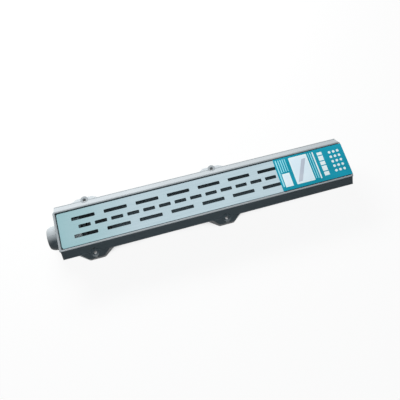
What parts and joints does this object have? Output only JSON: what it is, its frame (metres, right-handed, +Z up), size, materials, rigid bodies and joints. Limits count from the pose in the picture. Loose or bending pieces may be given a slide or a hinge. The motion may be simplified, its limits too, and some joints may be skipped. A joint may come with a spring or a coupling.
{
  "type": "channel drain",
  "caption": "Linear shower channel: moulded plastic trough with sloping skirt and fixing lugs, round side outlet at one end, slotted stainless grate, plug-in odour trap and a plain printed card",
  "frame": {"origin": "in the plane that the feet stand on, under the middle of the rim", "axes": "+X along the channel away from the outlet, +Y across it, +Z up out of the grate"},
  "size_m": [0.5175, 0.104, 0.0504],
  "materials": {
    "body_plastic": "fine moulded grey plastic, slightly satin",
    "stainless": "brushed along the length",
    "rubber_black": "matt",
    "trap_plastic": "smooth moulded",
    "label_print": "smooth coated card"
  },
  "bodies": {
    "root": {"channel_body": "body_plastic", "grate": "stainless", "grate_pads": "rubber_black", "trap_cartridge": "trap_plastic", "trap_seal_ring": "rubber_black", "hair_strainer": "trap_plastic", "label_card": "label_print"}
  },
  "joints": []
}
